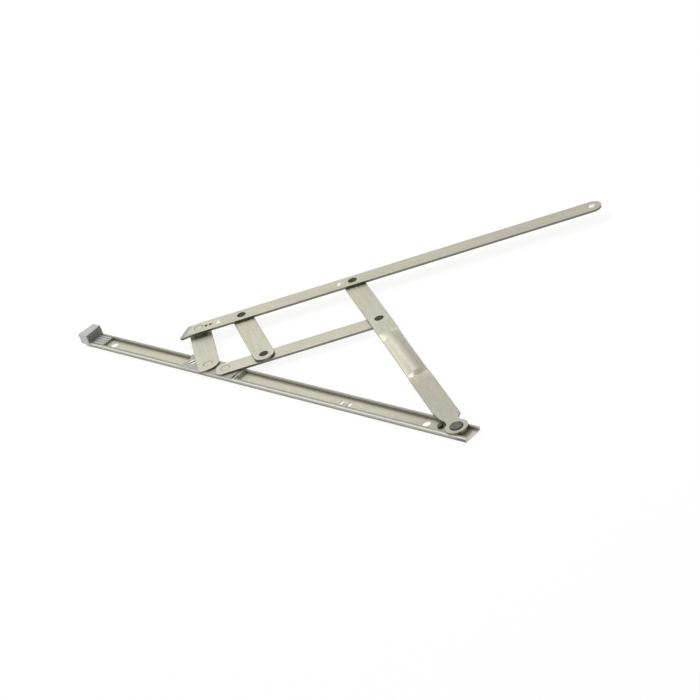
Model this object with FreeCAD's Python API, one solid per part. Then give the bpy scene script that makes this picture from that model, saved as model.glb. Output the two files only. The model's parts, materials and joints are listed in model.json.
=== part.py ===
"""Friction stay hinge for a top-hung window: a five-bar linkage riveted on a C-shaped track.

Units are millimetres. The track lies along X with its open side up. The origin is on the track's
flat back, under the main pivot. The stay is drawn fully open, and it closes when the main arm
swings down onto the track, towards -X.
"""
import FreeCAD, Part
import math
import os

Vec = FreeCAD.Vector

# ---------------------------------------------------------------- driving sizes
# Linkage: distances between pivots, and the main arm's angle to the track when fully open.
main_pivot_to_link = 200.0
link_to_sash_pivot = 78.0
link_length = 137.0
support_offset = 102.0          # from the main arm's pivots to the support arm's, on link and sash bar
slider_pivot_spacing = 22.5
open_angle = 30.2

# Track
track_width = 17.5
track_height = 4.3
track_gauge = 1.1
track_lip = 2.4                 # from the outer side to the lip's inner edge
track_past_pivot = 15.0
track_before_pivot = 449.0
track_corner = 1.6              # outer bend between a side and its lip
track_base_corner = 0.6
track_inner_corner = 0.3
lip_edge = 0.2

# Bars
bar_gauge = 2.0
arm_width = 18.2                # main and support arms
link_width = 16.8               # link and sash bar
short_arm_width = 19.7
short_arm_foot_corners = (9.5, 4.5)
link_foot_corners = (5.5, 5.5)
bar_edge = 0.3                  # rounding of a bar's upper edge
washer_gauge = 0.3
washer_radius = 6.5

# Rivets
shank_radius = 2.5
head_radius = 4.05
head_seat = 1.0                 # depth of the seat that a head is sunk in
tail_radius = 3.5
tail_seat = 0.7
flush_sink = 0.1                # how far a head or tail stays below its bar's face
main_shank_radius = 3.0
main_head_radius = 5.5
main_head_height = 0.8
main_tail_radius = 4.2
main_tail_seat = 0.6
bush_wall = 1.75
rivet_crown = 0.5               # rounding of a raised head
seat_groove = 0.25              # groove round the pale heads of the nose and slider rivets

# Clearances
running = 0.05                  # all round a shank, head, screw or pad in its hole
slide_gap = 0.05                # under and over the slider in the track
arm_over_lips = 0.1
side_play = 3.4                 # room for the slider's sideways drift towards -Y
shoe_side_gap = 0.35            # between the shoe and the track's rounded inner corners
slot_gap = 0.1                  # between the slider's neck and the far lip
channel_gap = 0.15              # between the channel and a bush or tongue in it
pad_gap = 0.02                  # under the friction pad
pin_float = 0.6                 # room round the short arm's pin in the slider
overshoot = 1.0                 # how far a cutter passes beyond what it cuts

# Screw holes
track_hole_radius = 3.7
sash_hole_radius = 2.7
track_screw_near = 33.5         # from the main pivot
track_screw_far = 419.5
sash_hole_mid = 12.6            # from the sash pivot towards the nose
sash_hole_nose = 18.6           # from the nose pivot back towards the sash pivot
sash_hole_end = 216.5           # from the sash pivot towards the far end

# Main arm
arm_head_radius = 9.2
arm_neck_half = 5.7
arm_neck_end = 12.5
arm_neck_corner = 2.0
arm_shoulder_far = 17.5         # shoulder on the side away from the track
arm_shoulder_far_corner = 1.5
arm_shoulder_near = 30.0        # shoulder on the side that closes onto the track
arm_shoulder_step = (19.5, 1.1)  # where the near shoulder begins: its place and depth below the side
arm_shoulder_near_corners = (4.0, 8.0)
rib_ramp_start = 93.0
rib_start = 97.5
rib_run_out = 163.0             # from here the arm's sides rise steeply
rib_run_out_depth = 1.6         # how far the sides lie below the rib's crest there
rib_end = 173.5                 # the arm's sides have risen to the rib's crest here
rib_half = 8.6
rib_bow = ((-1, 0), (-0.7, 0.32), (-0.35, 0.84), (0, 1), (0.35, 0.84), (0.7, 0.32), (1, 0))

# Sash bar
sash_far_end = 225.0            # from the sash pivot
nose_tip = 18.1                 # beyond the nose pivot
nose_tip_side = 5.2
nose_slant_start = 10.2         # beyond the nose pivot
nose_shoulder = 2.0             # length of the far side's last corner
nose_corners = (1.5, 1.0, 2.0)
nose_bend = 7.6                 # beyond the nose pivot
nose_drop = 1.3
nose_bevel = 0.8
punch_marks = (10.9, 6.9)       # from the nose pivot back towards the sash pivot
punch_radius = 1.2
punch_depth = 0.8

# Slider
slider_left = 53.0              # from the link's pivot
slider_right = 14.0
flange_gauge = 0.5
plate_gauge = 1.05
fork_radius = 11.0
fork_depth = 3.5
tab_place = 16.6
tab_gauge = 1.2
tab_inset = 0.75                # from the track's side to the end of the tab
friction_place = 43.0
friction_radius = 2.4
friction_head_radius = 3.3
friction_head_sink = 0.1
driver_slot = 1.1
driver_slot_depth = 0.8
driver_slot_turn = 66.0         # degrees from the track
slider_tail_seat = 0.5

# End cap
cap_depth = 10.0
cap_side_wall = 0.55            # thickness of the cap's sides outside the track
cap_flare = 1.2                 # extra length at both ends of the side that the arms open away from
cap_over_bars = 0.6             # height above the sash bar
cap_over_track = 4.0            # length of track that the cap's block stands over
cap_bottom = 0.6
cap_block_bottom = 2.5          # underside of the block beyond the track's end
cap_edge = 0.8
tongue_end = 428.0
tongue_ridges = (-4.8, -1.6, 1.6, 4.8)
ridge_half = 0.9
ridge_height = 0.6

# Stop stud and lanced bridge in the track's base
stud_place = 18.5
stud_radius = 2.3
stud_height = 2.5
stud_shank = 1.5
stud_crown = 0.8
bridge_place = 121.5
bridge_half_length = 2.6
bridge_half_width = 2.5
bridge_rise = 0.8
bridge_bend = 0.4               # extra width of the bridge's sloping ends
lance_slots = (4.6, 3.1)        # lengths of the slots on the end cap's side and the pivot's side

# ---------------------------------------------------------------- worked out from the sizes above
sash_reach = main_pivot_to_link + link_to_sash_pivot
open_rad = math.radians(open_angle)
bar_angle = math.degrees(math.asin(main_pivot_to_link / link_length * math.sin(open_rad)))
bar_rad = math.radians(bar_angle)

# The short arm and its pivot on the sash bar fit the slider both fully open and closed.
swing = link_to_sash_pivot * (1 - math.cos(open_rad + bar_rad))
nose_offset = (link_to_sash_pivot * slider_pivot_spacing * (1 - math.cos(open_rad))
               / (swing - slider_pivot_spacing * (1 - math.cos(bar_rad))))
nose_pivot = link_length + nose_offset
short_arm_length = link_to_sash_pivot + nose_offset - slider_pivot_spacing


def polar(start, length, degrees):
    """The point at a distance and direction from a start point, in the XY plane."""
    turn = math.radians(degrees)
    return Vec(start.x + length * math.cos(turn), start.y + length * math.sin(turn), 0)


main_direction = 180 - open_angle
bar_direction = 180 + bar_angle
main_pivot = Vec(0, 0, 0)
link_pivot = polar(main_pivot, main_pivot_to_link, main_direction)
sash_pivot = polar(main_pivot, sash_reach, main_direction)
slider_pivot = polar(link_pivot, link_length, bar_direction)
support_foot = polar(link_pivot, support_offset, bar_direction)
support_top = polar(sash_pivot, support_offset, bar_direction)
nose_point = polar(sash_pivot, nose_pivot, bar_direction)
short_foot = slider_pivot - Vec(slider_pivot_spacing, 0, 0)
short_direction = math.degrees(math.atan2(nose_point.y - short_foot.y, nose_point.x - short_foot.x))

# Heights, from the track's back up through the three layers of bars.
track_half = track_width / 2
slot_half = track_half - track_lip
inner_half = track_half - track_gauge
lip_under = track_height - track_gauge
flange_bottom = track_height + slide_gap
flange_top = flange_bottom + flange_gauge
layer1 = flange_top + slide_gap
layer2 = layer1 + bar_gauge + washer_gauge
layer3 = layer2 + bar_gauge + washer_gauge
layer2_top = layer2 + bar_gauge
layer3_top = layer3 + bar_gauge
cap_top = layer3_top + cap_over_bars
arm_low = track_height + arm_over_lips
plate_bottom = track_gauge + slide_gap
plate_top = plate_bottom + plate_gauge


# ---------------------------------------------------------------- shape helpers
def outline(corners):
    """A closed wire in XY through (x, y, radius) corners, each rounded by its own radius."""
    spans = []
    for i, (x, y, radius) in enumerate(corners):
        before = corners[i - 1]
        after = corners[(i + 1) % len(corners)]
        here = Vec(x, y, 0)
        to_before = (Vec(before[0], before[1], 0) - here).normalize()
        to_after = (Vec(after[0], after[1], 0) - here).normalize()
        half = to_before.getAngle(to_after) / 2
        if radius == 0:
            spans.append((here, None, here))
            continue
        back = radius / math.tan(half)
        middle = (to_before + to_after).normalize() * (radius / math.sin(half) - radius)
        spans.append((here + to_before * back, here + middle, here + to_after * back))
    edges = []
    for i, (start, middle, end) in enumerate(spans):
        if middle is not None:
            edges.append(Part.Arc(start, middle, end).toShape())
        following = spans[(i + 1) % len(spans)][0]
        if (following - end).Length > 1e-4:
            edges.append(Part.LineSegment(end, following).toShape())
    return Part.Wire(edges)


def plate(wire, bottom, gauge):
    """A flat plate: the wire's face at a height, thickened upwards."""
    face = Part.Face(wire)
    face.translate(Vec(0, 0, bottom))
    return face.extrude(Vec(0, 0, gauge))


def disc(centre, radius, bottom, top):
    return Part.makeCylinder(radius, top - bottom, Vec(centre.x, centre.y, bottom))


def block(x0, x1, y0, y1, z0, z1):
    return Part.makeBox(x1 - x0, y1 - y0, z1 - z0, Vec(x0, y0, z0))


def rounded_top(shape, top, radius):
    """Round the outer edges of the plane face at height top."""
    for face in shape.Faces:
        flat = isinstance(face.Surface, Part.Plane) and abs(face.CenterOfMass.z - top) < 1e-6
        if flat and face.BoundBox.ZLength < 1e-6:
            return shape.makeFillet(radius, face.OuterWire.Edges)
    raise ValueError("no flat face at the height to be rounded")


def bar_plan(length, half, start_corners=None, end_corners=None):
    """Outline of a bar along +X, half-round or cornered, a half-width beyond (0, 0) and (length, 0)."""
    start_right, start_left = start_corners or (half, half)
    end_left, end_right = end_corners or (half, half)
    return outline([(-half, -half, start_right), (-half, half, start_left),
                    (length + half, half, end_left), (length + half, -half, end_right)])


def pivot_hole(bottom, seat_above=False, seat_below=False, seat_gap=running):
    """Cutter at the origin for a rivet through a bar, with the seats of its head and tail."""
    origin = Vec(0, 0, 0)
    top = bottom + bar_gauge
    cutter = disc(origin, shank_radius + running, bottom - overshoot, top + overshoot)
    if seat_above:
        cutter = cutter.fuse(disc(origin, head_radius + seat_gap, top - head_seat, top + overshoot))
    if seat_below:
        cutter = cutter.fuse(disc(origin, tail_radius + running, bottom - overshoot, bottom + tail_seat))
    return cutter


def cut_at(shape, cutter, x):
    tool = cutter.copy()
    tool.translate(Vec(x, 0, 0))
    return shape.cut(tool)


def placed(shape, point, degrees):
    """Turn a bar drawn along +X and move its first pivot to a point."""
    result = shape.copy()
    result.rotate(Vec(0, 0, 0), Vec(0, 0, 1), degrees)
    result.translate(Vec(point.x, point.y, 0))
    return result


def rivet(point, bottom, top):
    """A flush rivet through bars that lie between two heights."""
    low = bottom + flush_sink
    high = top - flush_sink
    shape = disc(point, shank_radius, low, high)
    shape = shape.fuse(disc(point, head_radius, top - head_seat, high))
    shape = shape.fuse(disc(point, tail_radius, low, bottom + tail_seat))
    return shape.removeSplitter()


def ring(point, outer, inner, bottom, top):
    return disc(point, outer, bottom, top).cut(disc(point, inner, bottom, top))


def save(shape, name):
    solids = shape.Solids
    if len(solids) != 1 or not shape.isValid():
        raise ValueError(f"{name} is not one sound solid")
    solids[0].exportStep(f"parts/{name}.step")


# ---------------------------------------------------------------- the pieces on the track
def track():
    corners = [(-track_half, 0, track_base_corner), (track_half, 0, track_base_corner),
               (track_half, track_height, track_corner), (slot_half, track_height, lip_edge),
               (slot_half, lip_under, lip_edge), (inner_half, lip_under, track_inner_corner),
               (inner_half, track_gauge, track_inner_corner),
               (-inner_half, track_gauge, track_inner_corner),
               (-inner_half, lip_under, track_inner_corner), (-slot_half, lip_under, lip_edge),
               (-slot_half, track_height, lip_edge), (-track_half, track_height, track_corner)]
    section = outline(corners)
    section.rotate(Vec(0, 0, 0), Vec(1, 1, 1), 120)
    section.translate(Vec(-track_before_pivot, 0, 0))
    length = track_before_pivot + track_past_pivot
    shape = Part.Face(section).extrude(Vec(length, 0, 0))
    above = track_gauge + overshoot
    for place in (track_screw_near, track_screw_far):
        shape = shape.cut(disc(Vec(-place, 0, 0), track_hole_radius, -overshoot, above))
    shape = shape.cut(disc(main_pivot, main_shank_radius + running, -overshoot, above))
    shape = shape.cut(disc(main_pivot, main_tail_radius + running, -overshoot, main_tail_seat))
    shape = shape.cut(disc(Vec(-stud_place, 0, 0), stud_shank + running, -overshoot, above))
    return with_bridge(shape)


def with_bridge(shape):
    """Lance two cross slots in the base and raise the strip between them into a bridge."""
    rise = bridge_rise
    half = bridge_half_width
    left = -bridge_place - bridge_half_length - lance_slots[0]
    right = -bridge_place + bridge_half_length + lance_slots[1]
    window = block(left, right, -half, half, -overshoot, track_gauge + overshoot)
    inner = half - rise - bridge_bend
    profile = [Vec(0, -half, 0), Vec(0, -half, track_gauge), Vec(0, -half + rise, track_gauge + rise),
               Vec(0, half - rise, track_gauge + rise), Vec(0, half, track_gauge), Vec(0, half, 0),
               Vec(0, inner, rise), Vec(0, -inner, rise)]
    wire = Part.makePolygon(profile + profile[:1])
    wire.translate(Vec(-bridge_place - bridge_half_length, 0, 0))
    strip = Part.Face(wire).extrude(Vec(2 * bridge_half_length, 0, 0))
    return shape.cut(window).fuse(strip)


def end_cap():
    """Block over the track's end, with sides outside the track and a ridged tongue in the channel."""
    half = track_half + cap_side_wall
    inner_x = -(track_before_pivot - cap_over_track)
    outer_x = inner_x - cap_depth
    behind = -track_before_pivot - running
    above = track_height + running
    plan = Part.makePolygon([Vec(outer_x - cap_flare, -half, 0), Vec(outer_x, half, 0),
                             Vec(inner_x, half, 0), Vec(inner_x + cap_flare, -half, 0),
                             Vec(outer_x - cap_flare, -half, 0)])
    shape = plate(plan, cap_bottom, cap_top - cap_bottom)
    shape = shape.makeFillet(cap_edge, [e for e in shape.Edges if e.BoundBox.ZMax > above])
    side = track_half + running
    shape = shape.cut(block(behind, inner_x + 2 * cap_flare, -side, side, 0, above))
    wide = half + overshoot
    shape = shape.cut(block(outer_x - 2 * cap_flare, behind, -wide, wide, 0, cap_block_bottom))
    tongue_top = lip_under - slide_gap
    tongue_half = inner_half - channel_gap
    neck_half = slot_half - channel_gap
    tongue = block(behind, -tongue_end, -tongue_half, tongue_half, plate_bottom, tongue_top)
    neck = block(behind, inner_x, -neck_half, neck_half, tongue_top, above + overshoot)
    shape = shape.fuse([tongue, neck])
    for y in tongue_ridges:
        shape = shape.fuse(block(behind, -tongue_end, y - ridge_half, y + ridge_half,
                                 plate_bottom, tongue_top + ridge_height))
    return shape.removeSplitter()


def stop_stud():
    place = Vec(-stud_place, 0, 0)
    head = disc(place, stud_radius, track_gauge, track_gauge + stud_height)
    head = rounded_top(head, track_gauge + stud_height, stud_crown)
    return head.fuse(disc(place, stud_shank, flush_sink, track_gauge))


def pivot_bush():
    """Bush that stands in the channel and carries the main arm above the lips."""
    inner = main_shank_radius + running
    return ring(main_pivot, inner + bush_wall, inner, track_gauge, arm_low)


def main_pivot_rivet():
    top = arm_low + bar_gauge
    head = disc(main_pivot, main_head_radius, top, top + main_head_height)
    head = rounded_top(head, top + main_head_height, rivet_crown)
    shank = disc(main_pivot, main_shank_radius, 0, top)
    tail = disc(main_pivot, main_tail_radius, 0, main_tail_seat)
    return head.fuse([shank, tail]).removeSplitter()


# ---------------------------------------------------------------- the bars
def arch_section(x, half, edge_bottom, crest_bottom):
    """Cross-section of the main arm: a bowed strip, or a flat one when both heights agree."""
    def bow(lift):
        points = [Vec(x, s * half, edge_bottom + lift + f * (crest_bottom - edge_bottom))
                  for s, f in rib_bow]
        curve = Part.BSplineCurve()
        curve.interpolate(points)
        return curve.toShape()
    low = bow(0)
    high = bow(bar_gauge)
    sides = [Part.LineSegment(Vec(x, s * half, edge_bottom), Vec(x, s * half, edge_bottom + bar_gauge))
             for s in (1, -1)]
    return Part.Wire([low, sides[0].toShape(), high, sides[1].toShape()])


def main_arm():
    """Arm with a waisted eye and a low stretch, then a rib whose sides rise to the upper stretch."""
    half = arm_width / 2
    step_place, step_depth = arm_shoulder_step
    step_corner, shoulder_corner = arm_shoulder_near_corners
    waist = [(0, arm_neck_half, 0), (arm_neck_end, arm_neck_half, arm_neck_corner),
             (step_place, half - step_depth, step_corner), (arm_shoulder_near, half, shoulder_corner),
             (rib_ramp_start, half, 0), (rib_ramp_start, -half, 0),
             (arm_shoulder_far, -half, arm_shoulder_far_corner),
             (arm_neck_end, -arm_neck_half, arm_neck_corner), (0, -arm_neck_half, 0)]
    low = plate(outline(waist), arm_low, bar_gauge)
    low = low.fuse(disc(main_pivot, arm_head_radius, arm_low, arm_low + bar_gauge)).removeSplitter()
    low = low.cut(disc(main_pivot, main_shank_radius + running, 0, layer3))
    flat = arch_section(rib_ramp_start, half, arm_low, arm_low)
    bowed = arch_section(rib_start, rib_half, arm_low, layer2)
    run_out = arch_section(rib_run_out, rib_half, layer2 - rib_run_out_depth, layer2)
    level = arch_section(rib_end, half, layer2, layer2)
    sections = [flat, bowed, run_out, level]
    spans = [Part.makeLoft([before, after], True, True) for before, after in zip(sections, sections[1:])]
    upper = [(rib_end, -half, 0), (sash_reach + half, -half, half),
             (sash_reach + half, half, half), (rib_end, half, 0)]
    high = plate(outline(upper), layer2, bar_gauge)
    high = cut_at(high, pivot_hole(layer2, seat_above=True), main_pivot_to_link)
    high = cut_at(high, pivot_hole(layer2, seat_below=True), sash_reach)
    shape = low.fuse(spans + [high])
    return placed(shape, main_pivot, main_direction)


def link_bar():
    shape = plate(bar_plan(link_length, link_width / 2, end_corners=link_foot_corners), layer1, bar_gauge)
    shape = rounded_top(shape, layer1 + bar_gauge, bar_edge)
    shape = cut_at(shape, pivot_hole(layer1, seat_below=True), 0)
    shape = cut_at(shape, pivot_hole(layer1, seat_below=True), support_offset)
    shape = cut_at(shape, pivot_hole(layer1, seat_above=True, seat_gap=seat_groove), link_length)
    return placed(shape, link_pivot, bar_direction)


def support_arm():
    shape = plate(bar_plan(link_to_sash_pivot, arm_width / 2), layer2, bar_gauge)
    shape = rounded_top(shape, layer2 + bar_gauge, bar_edge)
    shape = cut_at(shape, pivot_hole(layer2, seat_above=True), 0)
    shape = cut_at(shape, pivot_hole(layer2, seat_below=True), link_to_sash_pivot)
    return placed(shape, support_foot, main_direction)


def short_arm():
    plan = bar_plan(short_arm_length, short_arm_width / 2, start_corners=short_arm_foot_corners)
    shape = rounded_top(plate(plan, layer1, bar_gauge), layer1 + bar_gauge, bar_edge)
    shape = cut_at(shape, pivot_hole(layer1, seat_above=True, seat_gap=seat_groove), 0)
    shape = cut_at(shape, pivot_hole(layer1, seat_below=True), short_arm_length)
    return placed(shape, short_foot, short_direction)


def sash_bar():
    """Bar that the sash is screwed to, with a slanted nose that bends down to the end cap."""
    half = link_width / 2
    tip = nose_pivot + nose_tip
    bend = nose_pivot + nose_bend
    shoulder_corner, tip_corner, slant_corner = nose_corners
    plan = outline([(-sash_far_end, -half, half), (-sash_far_end, half, half),
                    (tip - nose_shoulder, half, shoulder_corner), (tip, nose_tip_side, tip_corner),
                    (nose_pivot + nose_slant_start, -half, slant_corner)])
    drop = Vec(tip + overshoot, 0, layer3 - nose_drop)
    lift = Vec(0, 0, bar_gauge)
    start = Vec(-sash_far_end - overshoot, 0, layer3)
    corner = Vec(bend, 0, layer3)
    side = [start, corner, drop, drop + lift, corner + lift, start + lift]
    profile = Part.Face(Part.makePolygon(side + side[:1]))
    profile.translate(Vec(0, -half - overshoot, 0))
    strip = profile.extrude(Vec(0, link_width + 2 * overshoot, 0))
    shape = plate(plan, layer3 - nose_drop - overshoot, bar_gauge + nose_drop + 2 * overshoot).common(strip)
    slant = [e for e in shape.Edges if e.BoundBox.XMin > bend and e.BoundBox.YLength > half
             and e.BoundBox.ZMax > layer3 + bar_gauge / 2]
    shape = shape.makeChamfer(nose_bevel, slant)
    shape = cut_at(shape, pivot_hole(layer3, seat_above=True), 0)
    shape = cut_at(shape, pivot_hole(layer3, seat_above=True), support_offset)
    shape = cut_at(shape, pivot_hole(layer3, seat_above=True, seat_gap=seat_groove), nose_pivot)
    above = layer3_top + overshoot
    for x in (sash_hole_mid, nose_pivot - sash_hole_nose, -sash_hole_end):
        shape = shape.cut(disc(Vec(x, 0, 0), sash_hole_radius, layer3 - overshoot, above))
    for back in punch_marks:
        shape = shape.cut(disc(Vec(nose_pivot - back, 0, 0), punch_radius, layer3_top - punch_depth, above))
    return placed(shape, sash_pivot, bar_direction)


# ---------------------------------------------------------------- the slider, drawn about the link's pivot
def slider_band(half_low, half_high, bottom, top, left=slider_left, right=slider_right):
    return block(-left, right, -half_low, half_high, bottom, top)


shoe_low = inner_half - side_play
shoe_high = inner_half - shoe_side_gap
neck_low = slot_half - side_play
neck_high = slot_half - slot_gap
fork_cutter_x = -slider_left - fork_radius + fork_depth


def slider_body():
    """Moulded shoe under the lips, neck between them, and flange over them with a forked end."""
    flange = slider_band(track_half, track_half, flange_bottom, flange_top)
    neck = slider_band(neck_low, neck_high, plate_top, flange_bottom)
    shoe = slider_band(shoe_low, shoe_high, plate_top, lip_under - slide_gap)
    shape = flange.fuse([neck, shoe])
    above = flange_top + overshoot
    holes = [(fork_cutter_x, fork_radius), (0, shank_radius + running),
             (-slider_pivot_spacing, shank_radius + pin_float),
             (-friction_place, friction_radius + running)]
    for x, radius in holes:
        shape = shape.cut(disc(Vec(x, 0, 0), radius, 0, above))
    shape = shape.cut(disc(Vec(-friction_place, 0, 0), friction_head_radius + running, flange_bottom, above))
    return placed(shape, slider_pivot, 0)


def slider_plate():
    """Steel strip under the shoe, with an end tab turned up through the slot and over the lips."""
    tab_end = tab_place + tab_gauge
    tab_half = track_half - tab_inset
    strip = block(-slider_left + fork_depth + overshoot, tab_end, -shoe_low, shoe_high,
                  plate_bottom, plate_top)
    stem = block(tab_place, tab_end, -neck_low, neck_high, plate_bottom, flange_top)
    crown = block(tab_place, tab_end, -tab_half, tab_half, flange_bottom, flange_top)
    shape = strip.fuse([stem, crown])
    above = plate_top + overshoot
    shape = shape.cut(disc(Vec(0, 0, 0), shank_radius + running, 0, above))
    shape = shape.cut(disc(Vec(0, 0, 0), tail_radius + running, 0, plate_bottom + slider_tail_seat))
    shape = shape.cut(disc(Vec(-friction_place, 0, 0), friction_radius + running, 0, above))
    return placed(shape.removeSplitter(), slider_pivot, 0)


def friction_pad():
    pad = disc(Vec(-friction_place, 0, 0), friction_radius, track_gauge + pad_gap, plate_top)
    return placed(pad, slider_pivot, 0)


def friction_screw():
    place = Vec(-friction_place, 0, 0)
    top = flange_top - friction_head_sink
    shape = disc(place, friction_radius, plate_top, flange_bottom)
    shape = shape.fuse(disc(place, friction_head_radius, flange_bottom, top))
    slot = block(-friction_place - friction_head_radius, -friction_place + friction_head_radius,
                 -driver_slot / 2, driver_slot / 2, top - driver_slot_depth, top + overshoot)
    slot.rotate(place, Vec(0, 0, 1), driver_slot_turn)
    return placed(shape.cut(slot), slider_pivot, 0)


def slider_rivet():
    low = plate_bottom + flush_sink
    high = layer1 + bar_gauge - flush_sink
    origin = Vec(0, 0, 0)
    shape = disc(origin, shank_radius, low, high)
    shape = shape.fuse(disc(origin, head_radius, layer1 + bar_gauge - head_seat, high))
    shape = shape.fuse(disc(origin, tail_radius, low, plate_bottom + slider_tail_seat))
    return placed(shape.removeSplitter(), slider_pivot, 0)


def slider_pin():
    """Headed pin of the short arm, which floats in the slider's wider hole."""
    top = layer1 + bar_gauge
    shape = disc(short_foot, shank_radius, plate_top + slide_gap, top - flush_sink)
    return shape.fuse(disc(short_foot, head_radius, top - head_seat, top - flush_sink)).removeSplitter()


def washer(point, below):
    """Washer in the gap above a layer of bars."""
    bottom = below + bar_gauge
    return ring(point, washer_radius, shank_radius + running, bottom, bottom + washer_gauge)


def nose_spacer():
    return ring(nose_point, washer_radius, shank_radius + running, layer1 + bar_gauge, layer3)


pieces = {
    "track": track(),
    "end_cap": end_cap(),
    "stop_stud": stop_stud(),
    "pivot_bush": pivot_bush(),
    "main_pivot_rivet": main_pivot_rivet(),
    "main_arm": main_arm(),
    "link_bar": link_bar(),
    "support_arm": support_arm(),
    "short_arm": short_arm(),
    "sash_bar": sash_bar(),
    "slider_body": slider_body(),
    "slider_plate": slider_plate(),
    "friction_pad": friction_pad(),
    "friction_screw": friction_screw(),
    "slider_rivet": slider_rivet(),
    "slider_pin": slider_pin(),
    "link_rivet": rivet(link_pivot, layer1, layer2_top),
    "sash_rivet": rivet(sash_pivot, layer2, layer3_top),
    "support_foot_rivet": rivet(support_foot, layer1, layer2_top),
    "support_top_rivet": rivet(support_top, layer2, layer3_top),
    "nose_rivet": rivet(nose_point, layer1, layer3_top),
    "link_washer": washer(link_pivot, layer1),
    "sash_washer": washer(sash_pivot, layer2),
    "support_foot_washer": washer(support_foot, layer1),
    "support_top_washer": washer(support_top, layer2),
    "nose_spacer": nose_spacer(),
}

os.makedirs("parts", exist_ok=True)
for piece_name, piece_shape in pieces.items():
    save(piece_shape, piece_name)
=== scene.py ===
"""Looks of the friction stay hinge: procedural finishes for every CAD piece, camera, light and floor."""
import json
import math

import bpy
from mathutils import Matrix, Vector

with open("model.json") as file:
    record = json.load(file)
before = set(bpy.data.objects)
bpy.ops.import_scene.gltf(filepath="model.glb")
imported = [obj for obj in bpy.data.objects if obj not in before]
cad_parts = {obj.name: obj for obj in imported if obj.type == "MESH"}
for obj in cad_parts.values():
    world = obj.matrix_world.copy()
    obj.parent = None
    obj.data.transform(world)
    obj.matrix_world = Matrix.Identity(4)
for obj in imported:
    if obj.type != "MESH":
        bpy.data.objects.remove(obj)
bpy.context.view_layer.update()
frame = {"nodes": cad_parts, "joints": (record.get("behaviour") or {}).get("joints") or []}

nodes = frame["nodes"]

# All lengths are in metres and all angles in degrees. A pair is a low and a high end.

# ---------------------------------------------------------------- camera, light and floor
CAMERA_AZIMUTH = 52.78
CAMERA_ELEVATION = 28.97
CAMERA_ROLL = -19.76
CAMERA_PLACE = Vector((1.0581, -0.8746, 0.8590))
CAMERA_LENS = 109.37
CAMERA_SENSOR = 36.0
CAMERA_NEAR = 0.05

PART_MIDDLE = Vector((-0.18, 0.06, 0))
KEY_FROM = Vector((-0.50, 0.12, 0.86)).normalized()
KEY_DISTANCE = 1.8
KEY_SIZE = 0.9
KEY_POWER = 9.0
SKY_FROM = Vector((-0.80, 0.10, 0.60)).normalized()
SKY_FACING = (-0.3, 0.9)
SKY_STRENGTH = (0.30, 0.86)

FLOOR_SIZE = 6.0
FLOOR_MIDDLE = (-0.2, 0.1)
FLOOR_DROP = 0.0002
FLOOR_GLOW = 0.86
FLOOR_TONES = ((0.16, 0.16, 0.16), (0.17, 0.17, 0.17))
FLOOR_CLOUD = {"scale": 4.0, "detail": 2.0}
FLOOR_ROUGHNESS = 0.9
FLOOR_SPECULAR = 0.1

# ---------------------------------------------------------------- colours
WHITE = (1.0, 1.0, 1.0)
STEEL = (0.545, 0.540, 0.435)
STEEL_WARM = (0.575, 0.545, 0.450)
# painted shade on the steel bars' upright side faces
STEEL_SIDE_SHADE = (0.20, 0.195, 0.155)
# painted light on the upright faces inside the track's channel and on the slider plate's sides
TRACK_SIDE_LIGHT = (0.66, 0.66, 0.58)
# painted shade on the track's outer walls, darkest at their foot
TRACK_WALL_SHADE = (0.50, 0.50, 0.43)
TRACK_FOOT_SHADE = (0.30, 0.295, 0.25)
# the painted shadow of the far lip on the base, and the base's darker stretch towards the main pivot
BASE_DARK_TONE = (0.20, 0.195, 0.14)
BASE_LIFT = (1.14, 1.13, 1.13)
# painted highlight on the track's near outer bend
LIP_HIGHLIGHT = (0.95, 0.95, 0.86)
# painted shade on the lips' tops, far and near
LIP_SHADE = (0.42, 0.42, 0.35)
NEAR_LIP_SHADE = (0.30, 0.30, 0.25)
# painted light on the walls of the sash bar's screw holes
HOLE_WALL_LIGHT = (1.0, 1.0, 0.96)
# painted shade on the sash bar's slanted end
SLANT_SHADE = (0.33, 0.345, 0.335)
# painted shade on the sash bar's nose tip and on the track's walls past the eye
TIP_SHADE = (0.09, 0.10, 0.11)
# painted shade in the punch marks' hollows
PUNCH_SHADE = (0.03, 0.03, 0.02)
# painted highlight on the friction screw's head, and painted shade in its slot and on its sides
SCREW_HEAD_HIGHLIGHT = (0.85, 0.85, 0.80)
SCREW_SLOT_SHADE = (0.03, 0.03, 0.025)
PLASTIC = (0.56, 0.575, 0.555)
SLIDER_PLASTIC = (0.47, 0.465, 0.415)

# ---------------------------------------------------------------- how the finishes are made
NOISE_SPREAD = (0.3, 0.7)           # nearly all of a fine noise's values
CLOUD_SPREAD = (0.35, 0.65)         # nearly all of a broad noise's values
UPRIGHT = (0.15, 0.55)              # height of a normal, from an upright face to a flat one
BUMP_DEPTH = 0.0002

STREAKS = {"stretch": (25, 1500, 300), "detail": 4.0, "roughness": 0.65}
STREAK_SHADE = (0.86, 1.08)
STREAK_BUMP = 0.10
STEEL_GRAIN = {"stretch": (260, 900, 400), "detail": 3.0, "roughness": 0.7}
STEEL_GRAIN_SHADE = (0.92, 1.06)
PATCHES = {"stretch": (22, 45, 22), "detail": 2.0}
BAR_ROUGHNESS = (0.34, 0.48)
TRACK_ROUGHNESS = (0.42, 0.55)
TRACK_METALLIC = 0.35

DIMPLES = {"scale": 900.0, "detail": 3.0}
DIMPLE_BUMP = 0.35
MOTTLE = {"scale": 330.0, "detail": 2.0}
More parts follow.
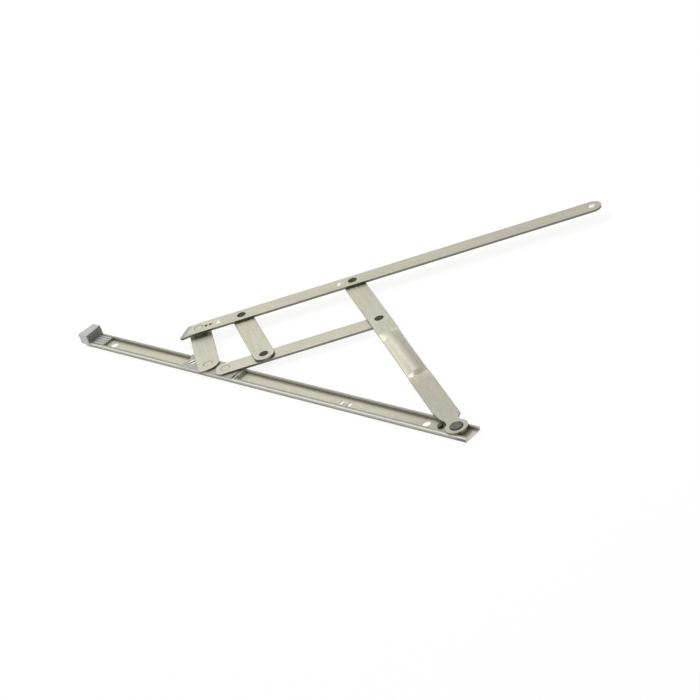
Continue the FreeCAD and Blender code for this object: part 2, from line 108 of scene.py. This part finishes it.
# painted shade towards a head's rim: it starts and ends here, and rim in each head's list below is how dark
# it gets
RIM_SHADE_SPAN = (0.78, 0.97)                  # where a head darkens, as shares of its radius
HEAD_ROUGHNESS_SPREAD = 0.08
DARK_HEAD = {"colour": (0.050, 0.048, 0.030), "roughness": 0.5, "rim": 0.55, "spots": 0.35}
PALE_HEAD = {"colour": STEEL, "roughness": 0.42, "rim": 0.6, "spots": 0.06}
PIVOT_HEAD = {"colour": (0.150, 0.140, 0.125), "roughness": 0.55, "rim": 0.7, "spots": 0.35}
STUD = {"colour": (0.13, 0.11, 0.085), "roughness": 0.5, "rim": 0.6, "spots": 0.15}
WASHER = {"colour": (0.30, 0.27, 0.18), "roughness": 0.45, "rim": 1.0, "spots": 0.1}

PLASTIC_GRAIN = {"scale": 1400.0, "detail": 3.0}
PLASTIC_GRAIN_BUMP = 0.12
PLASTIC_CLOUD = {"scale": 60.0, "detail": 2.0}
PLASTIC_CLOUD_SHADE = 0.94
PLASTIC_ROUGHNESS = (0.42, 0.55)
ALONG_TRACK = (0.5, 0.9)            # how far a normal looks along +X
# painted shade on the end cap's inner face
CAP_INNER_SHADE = 0.38
INNER_FOOT_HEIGHTS = (0.0046, 0.0062)
INNER_FOOT_GAIN = 1.5               # painted light: an inner face is this much lighter at its foot

# ---------------------------------------------------------------- places on the track, in its own frame
BASE_TOP = 0.0020
# where the painted shadow of the far lip lies on the base, and how dark it gets
FAR_LIP_SHADOW_ACROSS = (0.0030, 0.0055)
FAR_LIP_SHADOW_DEPTH = 0.45
# the base gets darker towards the main pivot, over this stretch and by this much
PIVOT_DARK_ALONG = (-0.080, -0.035)
PIVOT_DARK_DEPTH = 0.22
PAST_EYE = (0.002, 0.008)
# painted light on the base past the eye, and painted shade on the walls there
END_LIGHT_GAIN = 1.3
END_WALL_SHADE = 0.7
LIP_HEIGHTS = (0.0036, 0.0040)
BEND_ACROSS = (-0.0078, -0.0082)
BEND_HEIGHTS = (0.0030, 0.0035)
WALL_HEIGHTS = (0.0016, 0.0026)
CHANNEL_HALF = 0.0083
STUD_PLACE = Vector((-0.0185, 0, 0))

# ---------------------------------------------------------------- places on the sash bar
HOLE_HALF = 0.0029
SLANT_START = 0.0102                # beyond the nose pivot
SLANT_SIDE = 0.0084
SLANT_NORMAL = (0.865, 0.502)
SLANT_BAND = 0.0048
SLANT_BLUR = 0.0003
SLANT_SHADE_DEPTH = 0.85
TIP_ALONG = (0.0080, 0.0100)        # beyond the nose pivot
TIP_SHADE_DEPTH = 0.8
PUNCH_MARKS = (0.0109, 0.0069)      # from the nose pivot back towards the sash pivot
PUNCH_FLOOR = 0.0103                # height just below the marks' floors
PUNCH_RING = 0.0014

# ---------------------------------------------------------------- places on the other pieces
ARM_LOWER = (0.080, 0.098)          # the main arm's darker lower stretch fades out over this
ARM_LOWER_DARKER = 0.80
HEAD_RADIUS = 0.00405
PIVOT_HEAD_RADIUS = 0.0055
WASHER_RADIUS = 1.0                 # far past the washers, so that they get no rim
SLIDER_PIVOT_SPACING = 0.0225
FRICTION_BACK = 0.043               # from the slider's pivot back to the friction screw
SLOT_TURN = 66.0
SLOT_HALF = 0.0009
ORIGIN = Vector((0, 0, 0))


# ---------------------------------------------------------------- node helpers
class Graph:
    """A material's node tree, with a short way to add and join nodes."""

    def __init__(self, name):
        self.material = bpy.data.materials.new(name)
        self.material.use_nodes = True
        self.tree = self.material.node_tree
        self.shader = self.tree.nodes["Principled BSDF"]

    def add(self, kind, **values):
        node = self.tree.nodes.new(kind)
        for key, value in values.items():
            setattr(node, key, value)
        return node

    def join(self, output, socket):
        self.tree.links.new(output, socket)

    def paint(self, socket, output):
        """Join an output to one of the shader's sockets."""
        self.join(output, self.shader.inputs[socket])

    def along(self, start=ORIGIN, turn=0.0):
        """Object coordinates from a start point, turned so that X runs along a bar."""
        coordinates = self.add("ShaderNodeTexCoord")
        turned = self.add("ShaderNodeMapping", vector_type="TEXTURE")
        turned.inputs["Location"].default_value = start
        turned.inputs["Rotation"].default_value = (0, 0, math.radians(turn))
        self.join(coordinates.outputs["Object"], turned.inputs["Vector"])
        return turned.outputs["Vector"]

    def normal(self):
        """The parts of the surface's own normal in the part's frame."""
        coordinates = self.add("ShaderNodeTexCoord")
        return self.split(coordinates.outputs["Normal"])

    def split(self, vector):
        node = self.add("ShaderNodeSeparateXYZ")
        self.join(vector, node.inputs["Vector"])
        return node.outputs["X"], node.outputs["Y"], node.outputs["Z"]

    def math(self, operation, *values):
        """A maths node on numbers or outputs."""
        node = self.add("ShaderNodeMath", operation=operation)
        for socket, value in zip(node.inputs, values):
            if isinstance(value, (int, float)):
                socket.default_value = value
            else:
                self.join(value, socket)
        return node.outputs[0]

    def times(self, first, second):
        return self.math("MULTIPLY", first, second)

    def minus(self, first, second):
        return self.math("SUBTRACT", first, second)

    def below(self, value, limit):
        """1 where a value is less than a limit, else 0."""
        return self.math("LESS_THAN", value, limit)

    def near(self, value, middle, reach):
        """1 where a value lies within a reach of a middle, else 0."""
        return self.math("COMPARE", value, middle, reach)

    def plan_length(self, x, y):
        """Length of the plan vector x, y."""
        return self.math("SQRT", self.math("ADD", self.times(x, x), self.times(y, y)))

    def noise(self, vector, detail, scale=1.0, roughness=0.5, stretch=None):
        """Noise of one scale, or of a scale for each direction if stretch is given."""
        if stretch:
            stretched = self.add("ShaderNodeMapping")
            stretched.inputs["Scale"].default_value = stretch
            self.join(vector, stretched.inputs["Vector"])
            vector = stretched.outputs["Vector"]
        node = self.add("ShaderNodeTexNoise")
        node.inputs["Scale"].default_value = scale
        node.inputs["Detail"].default_value = detail
        node.inputs["Roughness"].default_value = roughness
        self.join(vector, node.inputs["Vector"])
        return node.outputs["Fac"]

    def remap(self, value, source, target=(0.0, 1.0)):
        """Carry a value from one pair of ends to another, and stop it there."""
        node = self.add("ShaderNodeMapRange")
        for key, number in zip(("From Min", "From Max", "To Min", "To Max"), (*source, *target)):
            node.inputs[key].default_value = number
        self.join(value, node.inputs["Value"])
        return node.outputs["Result"]

    def blend(self, factor, first, second, mode="MIX"):
        """Mix two colours, each a tuple or an output, by a factor that is a number or an output."""
        node = self.add("ShaderNodeMix", data_type="RGBA", blend_type=mode)
        for socket, value in ((node.inputs[0], factor), (node.inputs[6], first), (node.inputs[7], second)):
            if isinstance(value, tuple):
                socket.default_value = (*value, 1.0)
            elif isinstance(value, float):
                socket.default_value = value
            else:
                self.join(value, socket)
        return node.outputs[2]

    def shaded(self, colour, shade):
        """A colour times a shade, which is a number's output."""
        node = self.add("ShaderNodeCombineColor")
        for channel in ("Red", "Green", "Blue"):
            self.join(shade, node.inputs[channel])
        return self.blend(1.0, colour, node.outputs["Color"], "MULTIPLY")

    def side_faces(self):
        """1 on faces that stand upright, 0 on faces that lie flat."""
        return self.remap(self.math("ABSOLUTE", self.normal()[2]), UPRIGHT, (1.0, 0.0))

    def bump(self, height, strength):
        node = self.add("ShaderNodeBump")
        node.inputs["Strength"].default_value = strength
        node.inputs["Distance"].default_value = BUMP_DEPTH
        self.join(height, node.inputs["Height"])
        self.paint("Normal", node.outputs["Normal"])


# ---------------------------------------------------------------- finishes
def brushed_steel(name, start, direction, edge=STEEL_SIDE_SHADE, roughness=BAR_ROUGHNESS, marks=None,
                  metallic=1.0):
    """Satin stainless steel with fine streaks along a bar and soft mottling; upright side faces get the
    edge colour, painted shade on most pieces and painted light in the track's channel and on the slider
    plate.

    marks, if given, adds to the face's colour and the edge's: it takes and returns both.
    """
    graph = Graph(name)
    place = graph.along(start, direction)
    streaks = graph.noise(place, **STREAKS)
    grain = graph.noise(place, **STEEL_GRAIN)
    patches = graph.noise(place, **PATCHES)
    tint = graph.blend(graph.remap(patches, CLOUD_SPREAD), STEEL, STEEL_WARM)
    shade = graph.times(graph.remap(streaks, NOISE_SPREAD, STREAK_SHADE),
                        graph.remap(grain, NOISE_SPREAD, STEEL_GRAIN_SHADE))
    face = graph.shaded(tint, shade)
    if marks:
        face, edge = marks(graph, place, face, edge)
    # upright faces get the edge colour: painted shade on most pieces, painted light in the track's channel
    # and on the slider plate
    graph.paint("Base Color", graph.blend(graph.side_faces(), face, edge))
    graph.paint("Roughness", graph.remap(streaks, NOISE_SPREAD, roughness))
    graph.shader.inputs["Metallic"].default_value = metallic
    graph.bump(streaks, STREAK_BUMP)
    return graph.material


def formed_rivet(name, centre, radius, colour, roughness, rim, spots):
    """Rivet head from orbital forming: mottled steel, dimpled, and with painted shade towards its rim."""
    graph = Graph(name)
    place = graph.along()
    fine = graph.noise(place, **DIMPLES)
    broad = graph.noise(place, **MOTTLE)
    darker = tuple(channel * (1 - spots) for channel in colour)
    lighter = tuple(channel * (1 + spots) for channel in colour)
    face = graph.blend(graph.remap(broad, CLOUD_SPREAD), darker, lighter)
    x, y, _ = graph.split(graph.along(centre))
    # painted shade towards the head's rim
    shade = graph.remap(graph.plan_length(x, y), (radius * RIM_SHADE_SPAN[0], radius * RIM_SHADE_SPAN[1]), (1.0, rim))
    graph.paint("Base Color", graph.shaded(face, shade))
    graph.paint("Roughness", graph.remap(fine, NOISE_SPREAD, (roughness - HEAD_ROUGHNESS_SPREAD,
                                                              roughness + HEAD_ROUGHNESS_SPREAD)))
    graph.shader.inputs["Metallic"].default_value = 1.0
    graph.bump(fine, DIMPLE_BUMP)
    return graph.material


def moulded_plastic(name, colour, inner=1.0):
    """Light grey moulded nylon with a faint grain; faces that look along the track get painted shade, inner
    times their colour, and painted light towards their foot.
    """
    graph = Graph(name)
    place = graph.along()
    grain = graph.noise(place, **PLASTIC_GRAIN)
    cloud = graph.noise(place, **PLASTIC_CLOUD)
    darker = tuple(channel * PLASTIC_CLOUD_SHADE for channel in colour)
    face = graph.blend(graph.remap(cloud, CLOUD_SPREAD), darker, colour)
    # painted shade on faces that look along +X, easing to painted light at their foot
    shade = graph.remap(graph.split(place)[2], INNER_FOOT_HEIGHTS, (inner * INNER_FOOT_GAIN, inner))
    inward = graph.remap(graph.normal()[0], ALONG_TRACK)
    along_x_shade = graph.blend(inward, WHITE, graph.shaded(WHITE, shade))
    graph.paint("Base Color", graph.blend(1.0, face, along_x_shade, "MULTIPLY"))
    graph.paint("Roughness", graph.remap(grain, NOISE_SPREAD, PLASTIC_ROUGHNESS))
    graph.bump(grain, PLASTIC_GRAIN_BUMP)
    return graph.material


# ---------------------------------------------------------------- marks on single pieces
def track_marks(graph, place, face, edge):
    """Painted shade on the lips, a painted highlight on the near outer corner, a painted shadow of the far
    lip on the base, the base darker towards the main pivot, painted light on the base past the eye, and
    painted shade on the outer walls, darkest at their foot and past the eye.
    """
    length, across, height = graph.split(place)
    # painted shadow of the far lip on the channel's base
    far_lip_shadow = graph.times(graph.remap(across, FAR_LIP_SHADOW_ACROSS, (0.0, FAR_LIP_SHADOW_DEPTH)),
                        graph.below(height, BASE_TOP))
    face = graph.blend(1.0, face, BASE_LIFT, "MULTIPLY")
    face = graph.blend(far_lip_shadow, face, BASE_DARK_TONE)
    past_eye = graph.remap(length, PAST_EYE)
    # the base darker towards the main pivot, up to the eye
    pivot_dark = graph.times(graph.remap(length, PIVOT_DARK_ALONG, (0.0, PIVOT_DARK_DEPTH)), graph.minus(1.0, past_eye))
    face = graph.blend(pivot_dark, face, BASE_DARK_TONE)
    # painted light on the base past the eye
    face = graph.shaded(face, graph.remap(past_eye, (0.0, 1.0), (1.0, END_LIGHT_GAIN)))
    # painted shade on the lips' tops
    lip_shade = graph.blend(graph.below(across, 0.0), LIP_SHADE, NEAR_LIP_SHADE)
    face = graph.blend(graph.remap(height, LIP_HEIGHTS), face, lip_shade)
    # painted highlight on the near outer bend
    bend = graph.times(graph.remap(across, BEND_ACROSS), graph.remap(height, BEND_HEIGHTS))
    # painted shade on the outer walls, darker towards their foot
    wall = graph.blend(graph.remap(height, WALL_HEIGHTS), TRACK_FOOT_SHADE, TRACK_WALL_SHADE)
    # painted shade on the walls past the eye
    wall = graph.blend(graph.times(past_eye, END_WALL_SHADE), wall, TIP_SHADE)
    edge = graph.blend(graph.near(across, 0.0, CHANNEL_HALF), wall, edge)
    return graph.blend(bend, face, LIP_HIGHLIGHT), graph.blend(bend, edge, LIP_HIGHLIGHT)


def sash_marks(graph, place, face, edge):
    """Painted light on the walls of the screw holes, painted shade on the slanted end and its tip, and
    painted shade in two punch marks.
    """
    length, across, height = graph.split(place)
    # painted light on the screw holes' walls
    edge = graph.blend(graph.near(across, 0.0, HOLE_HALF), edge, HOLE_WALL_LIGHT)
    outward = graph.minus(graph.times(graph.minus(length, nose_reach + SLANT_START), SLANT_NORMAL[0]),
                         graph.times(graph.math("ADD", across, SLANT_SIDE), SLANT_NORMAL[1]))
    # painted shade on the slanted end of the nose
    slant = graph.remap(outward, (-SLANT_BAND, SLANT_BLUR - SLANT_BAND), (0.0, SLANT_SHADE_DEPTH))
    face = graph.blend(slant, face, SLANT_SHADE)
    # painted shade on the side faces at the nose's tip
    tip = graph.remap(length, (nose_reach + TIP_ALONG[0], nose_reach + TIP_ALONG[1]), (0.0, TIP_SHADE_DEPTH))
    edge = graph.blend(tip, edge, TIP_SHADE)
    # painted shade in and around the two punch marks
    upper = graph.math("GREATER_THAN", height, PUNCH_FLOOR)
    for back in PUNCH_MARKS:
        away = graph.plan_length(graph.minus(length, nose_reach - back), across)
        here = graph.times(upper, graph.below(away, PUNCH_RING))
        face = graph.blend(here, face, PUNCH_SHADE)
        edge = graph.blend(here, edge, PUNCH_SHADE)
    return face, edge


def screw_marks(graph, place, face, edge):
    """A head painted bright as a highlight, with painted shade in its slot."""
    _, across, _ = graph.split(place)
    return graph.blend(graph.near(across, 0.0, SLOT_HALF), SCREW_HEAD_HIGHLIGHT, SCREW_SLOT_SHADE), edge


def arm_marks(graph, place, face, edge):
    """A darker lower stretch, up to the rib."""
    length, _, _ = graph.split(place)
    return graph.shaded(face, graph.remap(length, ARM_LOWER, (ARM_LOWER_DARKER, 1.0))), edge


# ---------------------------------------------------------------- dressing the pieces
def dress(node, material):
    slots = nodes[node].data.materials
    if len(slots) == 0:
        slots.append(material)
    for index in range(len(slots)):
        slots[index] = material


def joint_place(name):
    joint = next(j for j in frame["joints"] if j["name"] == name)
    return Vector(joint["pos_m"])


def direction_of(start, end):
    return math.degrees(math.atan2(end.y - start.y, end.x - start.x))


main_at = joint_place("main_pivot")
link_at = joint_place("link_pivot")
sash_at = joint_place("sash_pivot")
slider_at = joint_place("slider_pivot")
nose_at = joint_place("nose_pivot")
support_top_at = joint_place("support_top_pivot")
support_foot_at = link_at + (support_top_at - sash_at)
short_foot_at = slider_at - Vector((SLIDER_PIVOT_SPACING, 0, 0))
friction_at = slider_at - Vector((FRICTION_BACK, 0, 0))
nose_reach = (nose_at - sash_at).length
arm_direction = direction_of(main_at, sash_at)
bar_direction = direction_of(sash_at, nose_at)
short_direction = direction_of(short_foot_at, nose_at)

dress("track", brushed_steel("track_steel", ORIGIN, 0.0, TRACK_SIDE_LIGHT, TRACK_ROUGHNESS, track_marks,
                             TRACK_METALLIC))
dress("slider_plate", brushed_steel("slider_plate_steel", ORIGIN, 0.0, TRACK_SIDE_LIGHT))
dress("main_arm", brushed_steel("main_arm_steel", ORIGIN, arm_direction, marks=arm_marks))
dress("support_arm", brushed_steel("support_arm_steel", ORIGIN, arm_direction))
dress("link_bar", brushed_steel("link_steel", ORIGIN, bar_direction))
dress("sash_bar", brushed_steel("sash_bar_steel", sash_at, bar_direction, marks=sash_marks))
dress("short_arm", brushed_steel("short_arm_steel", ORIGIN, short_direction))
dress("friction_screw", brushed_steel("screw_steel", friction_at, SLOT_TURN, SCREW_SLOT_SHADE, marks=screw_marks))

for rivet, centre in (("link_rivet", link_at), ("sash_rivet", sash_at),
                      ("support_foot_rivet", support_foot_at), ("support_top_rivet", support_top_at)):
    dress(rivet, formed_rivet(rivet + "_face", centre, HEAD_RADIUS, **DARK_HEAD))
for rivet, centre in (("slider_rivet", slider_at), ("slider_pin", short_foot_at), ("nose_rivet", nose_at),
                      ("nose_spacer", nose_at), ("pivot_bush", main_at)):
    dress(rivet, formed_rivet(rivet + "_face", centre, HEAD_RADIUS, **PALE_HEAD))
for washer in ("link_washer", "sash_washer", "support_foot_washer", "support_top_washer"):
    dress(washer, formed_rivet(washer + "_face", ORIGIN, WASHER_RADIUS, **WASHER))
dress("main_pivot_rivet", formed_rivet("pivot_rivet_face", main_at, PIVOT_HEAD_RADIUS, **PIVOT_HEAD))
dress("stop_stud", formed_rivet("stop_stud_face", STUD_PLACE, HEAD_RADIUS, **STUD))

dress("end_cap", moulded_plastic("cap_nylon", PLASTIC, CAP_INNER_SHADE))
dress("friction_pad", moulded_plastic("pad_nylon", PLASTIC))
dress("slider_body", moulded_plastic("slider_nylon", SLIDER_PLASTIC))


# ---------------------------------------------------------------- floor, light, camera
def floor():
    """A plain pale floor that glows a little, so that it reads as white paper."""
    graph = Graph("floor_paper")
    cloud = graph.noise(graph.along(), **FLOOR_CLOUD)
    graph.paint("Base Color", graph.blend(cloud, *FLOOR_TONES))
    graph.shader.inputs["Roughness"].default_value = FLOOR_ROUGHNESS
    graph.shader.inputs["Specular IOR Level"].default_value = FLOOR_SPECULAR
    graph.shader.inputs["Emission Color"].default_value = (*WHITE, 1.0)
    graph.shader.inputs["Emission Strength"].default_value = FLOOR_GLOW
    bpy.ops.mesh.primitive_plane_add(size=FLOOR_SIZE, location=(*FLOOR_MIDDLE, -FLOOR_DROP))
    plane = bpy.context.object
    plane.name = "floor"
    plane.data.materials.append(graph.material)


def studio_world():
    """A soft sky that is bright on the left and overhead, and dim on the right."""
    world = bpy.data.worlds.new("studio")
    bpy.context.scene.world = world
    world.use_nodes = True
    tree = world.node_tree
    coordinates = tree.nodes.new("ShaderNodeTexCoord")
    facing = tree.nodes.new("ShaderNodeVectorMath")
    facing.operation = "DOT_PRODUCT"
    facing.inputs[1].default_value = SKY_FROM
    ramp = tree.nodes.new("ShaderNodeMapRange")
    for key, number in zip(("From Min", "From Max", "To Min", "To Max"), (*SKY_FACING, *SKY_STRENGTH)):
        ramp.inputs[key].default_value = number
    tree.links.new(coordinates.outputs["Generated"], facing.inputs[0])
    tree.links.new(facing.outputs["Value"], ramp.inputs["Value"])
    tree.links.new(ramp.outputs["Result"], tree.nodes["Background"].inputs["Strength"])
    tree.nodes["Background"].inputs["Color"].default_value = (*WHITE, 1.0)


def key_light():
    """One square softbox, overhead and to the left, that faces the part's middle."""
    lamp = bpy.data.lights.new("key", "AREA")
    lamp.shape = "SQUARE"
    lamp.size = KEY_SIZE
    lamp.energy = KEY_POWER
    holder = bpy.data.objects.new("key", lamp)
    bpy.context.scene.collection.objects.link(holder)
    holder.location = PART_MIDDLE + KEY_FROM * KEY_DISTANCE
    holder.rotation_euler = KEY_FROM.to_track_quat("Z", "Y").to_euler()


def camera():
    turn = math.radians(CAMERA_AZIMUTH)
    tilt = math.radians(CAMERA_ELEVATION)
    back = Vector((math.sin(turn) * math.cos(tilt), -math.cos(turn) * math.cos(tilt), math.sin(tilt)))
    right = (-back).cross(Vector((0, 0, 1))).normalized()
    up = back.cross(right)
    level = Matrix((right, up, back)).transposed().to_4x4()
    lens = bpy.data.cameras.new("photo_camera")
    lens.lens = CAMERA_LENS
    lens.sensor_width = CAMERA_SENSOR
    lens.clip_start = CAMERA_NEAR
    holder = bpy.data.objects.new("photo_camera", lens)
    bpy.context.scene.collection.objects.link(holder)
    roll = Matrix.Rotation(math.radians(CAMERA_ROLL), 4, "Z")
    holder.matrix_world = Matrix.Translation(CAMERA_PLACE) @ level @ roll
    bpy.context.scene.camera = holder


floor()
studio_world()
key_light()
camera()
bpy.context.scene.view_settings.view_transform = "Standard"
